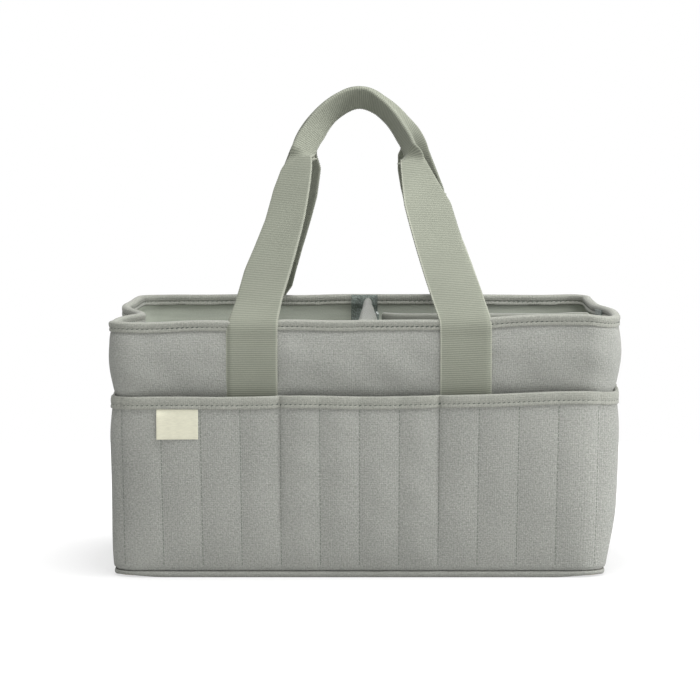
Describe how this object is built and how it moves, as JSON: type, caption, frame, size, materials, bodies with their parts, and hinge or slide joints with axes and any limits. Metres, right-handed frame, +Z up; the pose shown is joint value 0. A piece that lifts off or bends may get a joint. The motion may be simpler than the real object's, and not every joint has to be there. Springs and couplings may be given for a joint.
{
  "type": "diaper caddy",
  "caption": "Soft open-topped caddy with padded walls, a quilted pocket band, two webbing handles that swing at the rim and lift-out dividers, for carrying nursery supplies.",
  "frame": {"origin": "middle of the base, on the surface that the caddy stands on", "axes": "+X to the right along the length, +Y to the back, +Z up; the front, with the label, faces -Y"},
  "size_m": [0.3816, 0.2526, 0.362],
  "materials": {
    "outer_fabric": "mottled grey-green woven canvas",
    "quilted_fabric": "mottled canvas quilted in upright channels",
    "base_fabric": "mottled canvas",
    "binding": "folded canvas binding with one stitch row",
    "lining_fabric": "smooth plain-weave lining",
    "webbing": "ribbed cotton webbing",
    "divider_felt": "brushed divider fabric",
    "tape": "hook-and-loop tape, dark green",
    "label": "blank cream woven tape",
    "foam": "soft closed-cell padding",
    "greyboard": "compressed fibre board"
  },
  "bodies": {
    "caddy": {"base_panel": "base_fabric", "base_board": "greyboard", "floor_lining": "lining_fabric", "outer_front_wrap": "outer_fabric", "outer_back_wrap": "outer_fabric", "lining_front_wrap": "lining_fabric", "lining_back_wrap": "lining_fabric", "foam_front": "foam", "foam_back": "foam", "foam_left": "foam", "foam_right": "foam", "rim_binding": "binding", "pocket_front": "quilted_fabric", "pocket_back": "quilted_fabric", "pocket_left": "quilted_fabric", "pocket_right": "quilted_fabric", "pocket_binding_front": "binding", "pocket_binding_back": "binding", "pocket_binding_left": "binding", "pocket_binding_right": "binding", "label": "label", "handle_leg_front_left": "webbing", "handle_leg_front_right": "webbing", "handle_leg_back_left": "webbing", "handle_leg_back_right": "webbing", "wall_tape_front": "tape", "wall_tape_back": "tape", "wall_tape_right": "tape"},
    "front_handle": {"front_handle_loop": "webbing"},
    "back_handle": {"back_handle_loop": "webbing"},
    "centre_divider": {"centre_divider_cover": "divider_felt", "centre_divider_core": "foam", "centre_divider_tape": "tape", "centre_divider_hook_front": "tape", "centre_divider_hook_back": "tape"},
    "cross_divider": {"cross_divider_cover": "divider_felt", "cross_divider_core": "foam", "cross_divider_hook_left": "tape", "cross_divider_hook_right": "tape"}
  },
  "joints": [
    {"name": "front_handle_swing", "type": "hinge", "parent": "caddy", "child": "front_handle", "pos_m": [0, -0.12127, 0.1909], "axis": [1, 0, 0], "range_deg": [0, 185]},
    {"name": "back_handle_swing", "type": "hinge", "parent": "caddy", "child": "back_handle", "pos_m": [0, 0.12127, 0.1909], "axis": [-1, 0, 0], "range_deg": [0, 185]},
    {"name": "centre_divider_lift", "type": "slide", "parent": "caddy", "child": "centre_divider", "axis": [0, 0, 1], "range_m": [0, 0.14]},
    {"name": "cross_divider_lift", "type": "slide", "parent": "caddy", "child": "cross_divider", "axis": [0, 0, 1], "range_m": [0, 0.14]}
  ]
}
